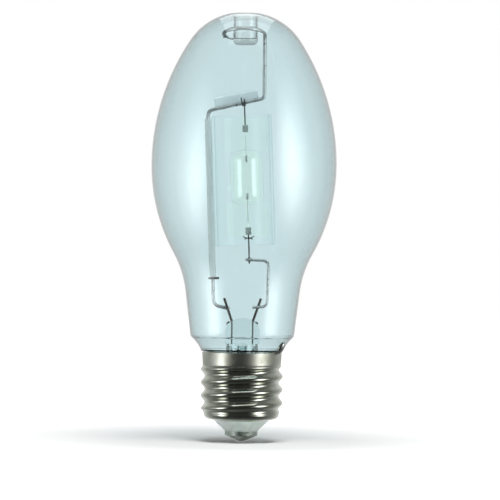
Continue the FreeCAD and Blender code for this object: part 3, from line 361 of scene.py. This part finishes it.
def clear_glass(name, tint, rim_tint_and_shade, rim_power, wave_mm, wave_depth, clear_radius):
    """Clear glass, more deeply tinted edge-on, partly for the longer path through the
    wall and partly as painted shade that draws dark outlines. It bends what is seen
    through it, and lets lamps shine straight in."""
    material, tree, out = blank_material(name)
    where = add(tree, "ShaderNodeTexCoord")
    waves = add(tree, "ShaderNodeTexNoise", inputs={
        "Vector": where.outputs["Object"], "Scale": 1000 / wave_mm, "Detail": 1.5})
    bump = add(tree, "ShaderNodeBump", inputs={
        "Height": waves.outputs["Fac"], "Strength": 1.0, "Distance": wave_depth})
    slant = add(tree, "ShaderNodeLayerWeight", inputs={
        "Blend": 0.5, "Normal": bump.outputs["Normal"]})
    steep = add(tree, "ShaderNodeMath", {"operation": "POWER"}, {
        0: slant.outputs["Facing"], 1: rim_power})
    # edge-on tint: partly the longer path through the wall, partly painted shade for outlines
    depth = add(tree, "ShaderNodeMix", {"data_type": "RGBA"},
                {"Factor": steep.outputs[0], 6: linear(tint), 7: linear(rim_tint_and_shade)})
    level = add(tree, "ShaderNodeMapping", inputs={
        "Vector": where.outputs["Object"], "Scale": (1, 1, 0)})
    off_axis = add(tree, "ShaderNodeVectorMath", {"operation": "LENGTH"}, {0: level.outputs[0]})
    tinted = add(tree, "ShaderNodeMapRange", inputs={
        "Value": off_axis.outputs["Value"], "From Min": clear_radius,
        "From Max": clear_radius + TINT_FADE})
    # painted shade: within the clear radius the glass goes dark grey where it turns edge-on
    dimple_edge_shaded = add(tree, "ShaderNodeMix", {"data_type": "RGBA"},
                 {"Factor": steep.outputs[0], 6: linear("#ffffff"), 7: linear(DIMPLE_EDGE_SHADE)})
    colour = add(tree, "ShaderNodeMix", {"data_type": "RGBA"},
                 {"Factor": tinted.outputs[0], 6: dimple_edge_shaded.outputs[2], 7: depth.outputs[2]})
    glass = add(tree, "ShaderNodeBsdfPrincipled", inputs={
        "Base Color": colour.outputs[2], "Roughness": GLASS_ROUGHNESS, "IOR": 1.5,
        "Transmission Weight": 1.0, "Normal": bump.outputs["Normal"]})
    passing = add(tree, "ShaderNodeBsdfTransparent", inputs={"Color": linear(SHADOW_TINT)})
    path = add(tree, "ShaderNodeLightPath")
    # light for the pieces inside, and what they mirror, pass the wall unbent
    lighting = add(tree, "ShaderNodeMath", {"operation": "MAXIMUM"}, {
        0: path.outputs["Is Shadow Ray"], 1: path.outputs["Is Diffuse Ray"]})
    mirrored = add(tree, "ShaderNodeMath", {"operation": "GREATER_THAN"}, {
        0: path.outputs["Glossy Depth"], 1: 0.5})
    through = add(tree, "ShaderNodeMath", {"operation": "MAXIMUM"}, {
        0: lighting.outputs[0], 1: mirrored.outputs[0]})
    surface = add(tree, "ShaderNodeMixShader", inputs={
        0: through.outputs[0], 1: glass.outputs[0], 2: passing.outputs[0]})
    tree.links.new(surface.outputs[0], out.inputs["Surface"])
    return material


dress(clear_glass("blown_soda_lime_glass", "#e9f6f8", "#bccdd2", rim_power=3.0, wave_mm=14,
                  wave_depth=0.00004, clear_radius=0.007), "outer_bulb")


# Stem and exhaust tube. A flare of tube glass sealed into the neck, its top pinched
# flat over the wires while soft, which leaves it rounder and more uneven.
NOWHERE_CLEAR = -0.01

# Its near-black edge-on tint is painted shade that draws the stem's dark outlines.
dress(clear_glass("flame_pressed_lead_free_glass", "#f4fafa", "#132222", rim_power=2.4,
                  wave_mm=3.5, wave_depth=0.0003, clear_radius=NOWHERE_CLEAR),
      "stem", "exhaust_tube")


# Lead wires. Nickel posts, darkened brown-grey by the sealing flames, thinner seal
# wires through the press, and soft tinned leads on to the contacts.
# dark grey that is painted on wire edges as shade, where they turn away
PAINTED_EDGE_SHADE_GREY = "#2c2e2f"


def drawn_wire(name, colour, dark, roughness, blotch_mm=2.5, painted_edge_shade=0.0, metallic=1.0):
    """Drawn metal, a little uneven in tone and gloss. Where it turns away it darkens,
    which is painted shade for the dark room its edges mirror, and metallic under 1
    stands for a matt skin on it."""
    material, tree, out = blank_material(name)
    where = add(tree, "ShaderNodeTexCoord")
    blotch = add(tree, "ShaderNodeTexNoise", inputs={
        "Vector": where.outputs["Object"], "Scale": 1000 / blotch_mm, "Detail": 3.0})
    rough = add(tree, "ShaderNodeMapRange", inputs={
        "Value": blotch.outputs["Fac"], "To Min": roughness * 0.6, "To Max": roughness * 1.4})
    tone = add(tree, "ShaderNodeMapRange", inputs={
        "Value": blotch.outputs["Fac"], "From Min": 0.3, "From Max": 0.7})
    mix = add(tree, "ShaderNodeMix", {"data_type": "RGBA"},
              {"Factor": tone.outputs[0], 6: linear(dark), 7: linear(colour)})
    # painted shade: the tone goes to dark grey where the wire turns away from the view
    slant = add(tree, "ShaderNodeLayerWeight", inputs={"Blend": 0.5})
    painted_edge_mask = add(tree, "ShaderNodeMapRange", {"interpolation_type": "SMOOTHSTEP"}, {
        "Value": slant.outputs["Facing"], "From Min": 0.25, "From Max": 0.7,
        "To Max": painted_edge_shade})
    shaded = add(tree, "ShaderNodeMix", {"data_type": "RGBA"},
                 {"Factor": painted_edge_mask.outputs[0], 6: mix.outputs[2], 7: linear(PAINTED_EDGE_SHADE_GREY)})
    metal = add(tree, "ShaderNodeBsdfPrincipled", inputs={
        "Base Color": shaded.outputs[2], "Metallic": metallic, "Roughness": rough.outputs[0]})
    tree.links.new(metal.outputs[0], out.inputs["Surface"])
    return material


# The posts carry painted shade on their edges, darker where they turn away.
dress(drawn_wire("flame_darkened_nickel_wire", "#8f8a86", "#625d58", 0.36, painted_edge_shade=0.7),
      "left_lead_post", "right_lead_post", "left_seal_wire", "right_seal_wire")
dress(drawn_wire("tinned_soft_copper_wire", "#c6c8c6", "#a3a19a", 0.3),
      "side_lead_wire", "centre_lead_wire")


# Frame. Stiff steel wire, bent cold from one length, and the support, bent from the
# same stock: nickel-plated, and satin from drawing. The stop and the hook that is
# welded to the upper lead are plain wire, blued by the weld.
# Both carry painted shade on their edges, darker where the wire turns away.
dress(drawn_wire("nickel_plated_drawn_steel", "#eceeef", "#cdd1d2", 0.30, painted_edge_shade=0.8,
                 metallic=0.6), "frame_wire", "support_wire")
dress(drawn_wire("blued_steel_wire", "#8a8e90", "#5f6365", 0.35, painted_edge_shade=0.7),
      "sleeve_stop", "top_lead_clip")


# Frame sleeve. A loose quartz sleeve, ground satin, that slides down over the side
# rod and hides it. It lets pale light through.
GROUND_MM = 1.2
FROSTED_WHITE = "#fafdfd"
SHEEN_SHARE = 0.06

material, tree, out = blank_material("ground_quartz_sleeve")
where = add(tree, "ShaderNodeTexCoord")
ground = add(tree, "ShaderNodeTexNoise", inputs={
    "Vector": where.outputs["Object"], "Scale": 1000 / GROUND_MM, "Detail": 4.0})
frosting = add(tree, "ShaderNodeMapRange", inputs={
    "Value": ground.outputs["Fac"], "To Min": 0.7, "To Max": 0.95})
slant = add(tree, "ShaderNodeLayerWeight", inputs={"Blend": 0.5})
thinning = add(tree, "ShaderNodeMapRange", inputs={
    "Value": slant.outputs["Facing"], "From Min": 0.35, "From Max": 0.9,
    "To Min": 1.0, "To Max": 0.1})
frosted = add(tree, "ShaderNodeMath", {"operation": "MULTIPLY"}, {
    0: frosting.outputs[0], 1: thinning.outputs[0]})
satin = add(tree, "ShaderNodeBsdfDiffuse", inputs={"Color": linear(FROSTED_WHITE)})
letting = add(tree, "ShaderNodeBsdfTranslucent", inputs={"Color": linear(FROSTED_WHITE)})
pale = add(tree, "ShaderNodeMixShader", inputs={
    0: 0.5, 1: satin.outputs[0], 2: letting.outputs[0]})
clear = add(tree, "ShaderNodeBsdfTransparent", inputs={"Color": linear("#f4f8f8")})
body = add(tree, "ShaderNodeMixShader", inputs={
    0: frosted.outputs[0], 1: clear.outputs[0], 2: pale.outputs[0]})
sheen = add(tree, "ShaderNodeBsdfGlossy", inputs={"Roughness": 0.25})
surface = add(tree, "ShaderNodeMixShader", inputs={
    0: SHEEN_SHARE, 1: body.outputs[0], 2: sheen.outputs[0]})
tree.links.new(surface.outputs[0], out.inputs["Surface"])
dress(material, "frame_sleeve")


# Getter. A strip of thin rolled steel, its top edge folded back, spot-welded behind
# the bar. Its face has a pale matt coat, and the fold on top keeps more gloss.
FACE_ROUGHNESS, FOLD_ROUGHNESS = 0.55, 0.18

strip = drawn_wire("satin_rolled_steel_strip", "#eff6f9", "#dfe7ea", FACE_ROUGHNESS,
                   blotch_mm=6, metallic=0.1)
dress(strip, "getter_strip")
tree = strip.node_tree
lie = add(tree, "ShaderNodeNewGeometry")
upward = add(tree, "ShaderNodeSeparateXYZ", inputs={0: lie.outputs["Normal"]})
gloss = add(tree, "ShaderNodeMapRange", inputs={
    "Value": upward.outputs["Z"], "From Min": 0.3, "From Max": 0.7,
    "To Min": FACE_ROUGHNESS, "To Max": FOLD_ROUGHNESS})
metal = next(node for node in tree.nodes if node.type == "BSDF_PRINCIPLED")
tree.links.new(gloss.outputs[0], metal.inputs["Roughness"])


# Burner. A quartz tube, its ends softened and pinched flat over molybdenum foils. The
# quartz is clear, with next to no tint, and waves a little where it was heated.
RIM_POWER = 5.0
RIM_GLOSS_TIMES = 3


def thin_quartz(name, tint, rim_tint_and_shade, share, gloss, wave_mm, wave_depth, bending):
    """A thin clear wall that darkens edge-on, as painted shade for faint dark outlines,
    and mirrors a small share. What is seen through it isn't moved. Bending 1 passes it
    by refraction of index 1 in place of transparency, because only eight transparent
    layers are followed in one line."""
    material, tree, out = blank_material(name)
    where = add(tree, "ShaderNodeTexCoord")
    waves = add(tree, "ShaderNodeTexNoise", inputs={
        "Vector": where.outputs["Object"], "Scale": 1000 / wave_mm, "Detail": 1.5})
    bump = add(tree, "ShaderNodeBump", inputs={
        "Height": waves.outputs["Fac"], "Strength": 1.0, "Distance": wave_depth})
    slant = add(tree, "ShaderNodeLayerWeight", inputs={
        "Blend": 0.5, "Normal": bump.outputs["Normal"]})
    steep = add(tree, "ShaderNodeMath", {"operation": "POWER"}, {
        0: slant.outputs["Facing"], 1: RIM_POWER})
    # painted shade: the wall's tint darkens edge-on to draw faint outlines
    depth = add(tree, "ShaderNodeMix", {"data_type": "RGBA"},
                {"Factor": steep.outputs[0], 6: linear(tint), 7: linear(rim_tint_and_shade)})
    passing = add(tree, "ShaderNodeBsdfTransparent", inputs={"Color": depth.outputs[2]})
    unbent = add(tree, "ShaderNodeBsdfRefraction", inputs={
        "Color": depth.outputs[2], "Roughness": 0.0, "IOR": 1.0})
    path = add(tree, "ShaderNodeLightPath")
    seen = add(tree, "ShaderNodeMath", {"operation": "LESS_THAN"}, {
        0: path.outputs["Glossy Depth"], 1: 0.5})
    lighting = add(tree, "ShaderNodeMath", {"operation": "MAXIMUM"}, {
        0: path.outputs["Is Shadow Ray"], 1: path.outputs["Is Diffuse Ray"]})
    lit = add(tree, "ShaderNodeMath", {"operation": "SUBTRACT", "use_clamp": True}, {
        0: seen.outputs[0], 1: lighting.outputs[0]})
    chosen = add(tree, "ShaderNodeMath", {"operation": "MULTIPLY"}, {
        0: lit.outputs[0], 1: bending})
    clear = add(tree, "ShaderNodeMixShader", inputs={
        0: chosen.outputs[0], 1: passing.outputs[0], 2: unbent.outputs[0]})
    mirror = add(tree, "ShaderNodeMapRange", inputs={
        "Value": steep.outputs[0], "To Min": share, "To Max": share * RIM_GLOSS_TIMES})
    shine = add(tree, "ShaderNodeBsdfGlossy", inputs={
        "Color": mirror.outputs[0], "Roughness": gloss, "Normal": bump.outputs["Normal"]})
    surface = add(tree, "ShaderNodeAddShader", inputs={
        0: clear.outputs[0], 1: shine.outputs[0]})
    tree.links.new(surface.outputs[0], out.inputs["Surface"])
    return material


dress(thin_quartz("pinched_quartz", "#fefffd", "#dbe3df", share=0.05, gloss=0.015,
                  wave_mm=4, wave_depth=0.00005, bending=1.0), "arc_tube")
dress(drawn_wire("rolled_molybdenum_foil", "#cfd4d6", "#b2b8ba", 0.4, metallic=0.3),
      "upper_foil", "lower_foil")


# Electrodes. In each end of the burner a tungsten rod runs from the foil into the arc
# space, with a tight coil of finer tungsten wire over its tip. Distances along them
# are taken from the burner's centre.
TIP_END, TIP_RADIUS, TIP_TAPER = 0.0071, 0.00008, 0.0003
SHANK_END, SHANK_RADIUS = 0.0216, 0.00013
COIL_START, COIL_TURNS, COIL_PITCH = 0.0077, 6, 0.00048
COIL_RADIUS, COIL_WIRE_RADIUS = 0.00055, 0.00015
STEPS_A_TURN = 12
BURNER_CENTRE = Vector((0.00135, 0, 0.12709))
BURNER_LEAN = math.radians(2.4)
UP_BURNER = Vector((-math.sin(BURNER_LEAN), 0, math.cos(BURNER_LEAN)))
ACROSS_BURNER = Vector((math.cos(BURNER_LEAN), 0, math.sin(BURNER_LEAN)))
BACKWARD = Vector((0, 1, 0))
WIRE_SIDES = 12


def round_wire(name, material, runs):
    """One piece of wire from runs, each a list of (centre, radius) along its length."""
    points, faces = [], []
    for run in runs:
        side = BACKWARD
        for index, (centre, radius) in enumerate(run):
            before = run[max(index - 1, 0)][0]
            after = run[min(index + 1, len(run) - 1)][0]
            heading = (after - before).normalized()
            side = (side - heading * side.dot(heading)).normalized()
            other = heading.cross(side)
            first = len(points)
            for n in range(WIRE_SIDES):
                turn = math.tau * n / WIRE_SIDES
                outward = side * math.cos(turn) + other * math.sin(turn)
                points.append(centre + outward * radius)
            if index:
                last = first - WIRE_SIDES
                for n in range(WIRE_SIDES):
                    after_n = (n + 1) % WIRE_SIDES
                    faces.append((last + n, last + after_n, first + after_n, first + n))
            if index in (0, len(run) - 1):
                faces.append(tuple(range(first, first + WIRE_SIDES)))
    mesh = bpy.data.meshes.new(name)
    mesh.from_pydata(points, [], faces)
    mesh.shade_smooth()
    mesh.materials.append(material)
    piece = bpy.data.objects.new(name, mesh)
    bpy.context.scene.collection.objects.link(piece)
    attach(piece, "root")
    return piece


tungsten = drawn_wire("sintered_tungsten", "#e6eded", "#d2dada", 0.6, 1.0, metallic=0.2)
for end, sign in (("upper", 1), ("lower", -1)):
    along = UP_BURNER * sign
    shank = [(BURNER_CENTRE + along * distance, radius) for distance, radius in (
        (TIP_END, TIP_RADIUS), (TIP_END + TIP_TAPER, SHANK_RADIUS), (SHANK_END, SHANK_RADIUS))]
    coil = []
    for n in range(COIL_TURNS * STEPS_A_TURN + 1):
        turn = math.tau * n / STEPS_A_TURN
        middle = BURNER_CENTRE + along * (COIL_START + COIL_PITCH * n / STEPS_A_TURN)
        outward = ACROSS_BURNER * math.cos(turn) + BACKWARD * math.sin(turn)
        coil.append((middle + outward * COIL_RADIUS, COIL_WIRE_RADIUS))
    electrode = round_wire(end + "_wound_electrode", tungsten, [shank, coil])
    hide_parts(end + "_electrode")


# Outer leads. Drawn molybdenum wire that comes out of each pinch, and swells into a
# weld knot where the bar or the support meets it.
LEAD_RADIUS = 0.00034
KNOT_REACH, KNOT_HEIGHT = 0.0011, 0.0004
LEAD_STEPS = 63

# It carries painted shade on its edges, darker where it turns away.
molybdenum = drawn_wire("drawn_molybdenum_wire", "#8d9090", "#5f6262", 0.36, painted_edge_shade=0.6)
for end, sign, start, finish, knot in (
        ("upper", 1, 0.0251, 0.0377, 0.0352), ("lower", -1, 0.0274, 0.0411, 0.0392)):
    profile = []
    for n in range(LEAD_STEPS + 1):
        distance = start + (finish - start) * n / LEAD_STEPS
        swell = max(0.0, 1 - ((distance - knot) / KNOT_REACH) ** 2) ** 0.5
        profile.append((BURNER_CENTRE + UP_BURNER * (sign * distance),
                        LEAD_RADIUS + KNOT_HEIGHT * swell))
    lead = round_wire(end + "_welded_lead", molybdenum, [profile])
    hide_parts(end + "_lead")


# Lead washer. Thin spring steel, punched as a star, its teeth bent up and down by turns
# so that they grip the lower lead.
WASHER_BELOW_CENTRE = 0.02906
WASHER_AT = BURNER_CENTRE - UP_BURNER * WASHER_BELOW_CENTRE
WASHER_TEETH = 8
WASHER_SHEET = 0.0003
HOLE_RADIUS, ROOT_RADIUS, TOOTH_RADIUS = 0.0004, 0.0015, 0.0029
BENT_UP, BENT_DOWN = 0.0009, -0.0006

corners = WASHER_TEETH * 2
points, faces = [], []
for n in range(corners):
    turn = math.tau * n / corners
    outward = ACROSS_BURNER * math.cos(turn) + BACKWARD * math.sin(turn)
    bend = BENT_UP if n % 4 == 0 else BENT_DOWN
    reach, lift = (TOOTH_RADIUS, bend) if n % 2 == 0 else (ROOT_RADIUS, 0.0)
    for side in (-0.5, 0.5):
        points.append(WASHER_AT + outward * HOLE_RADIUS + UP_BURNER * side * WASHER_SHEET)
        points.append(WASHER_AT + outward * reach + UP_BURNER * (lift + side * WASHER_SHEET))
    here, there = 4 * n, 4 * ((n + 1) % corners)
    faces += [(here, here + 1, there + 1, there), (here + 2, there + 2, there + 3, here + 3),
              (here + 1, here + 3, there + 3, there + 1), (here, there, there + 2, here + 2)]
washer_mesh = bpy.data.meshes.new("toothed_washer")
washer_mesh.from_pydata(points, [], faces)
# Its teeth carry painted shade on their edges, darker where they turn away.
washer_mesh.materials.append(
    drawn_wire("punched_spring_steel", "#7d8182", "#565a5b", 0.3, painted_edge_shade=0.5))
washer = bpy.data.objects.new("toothed_washer", washer_mesh)
bpy.context.scene.collection.objects.link(washer)
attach(washer, "root")
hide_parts("lead_washer")


# Shroud. A plain length of quartz tube round the burner, cut and fire-polished, that
# would catch the pieces if the burner broke.
dress(thin_quartz("drawn_quartz_tube", "#feffff", "#e6eded", share=0.008, gloss=0.03,
                  wave_mm=9, wave_depth=0.00003, bending=0.0), "shroud_tube")
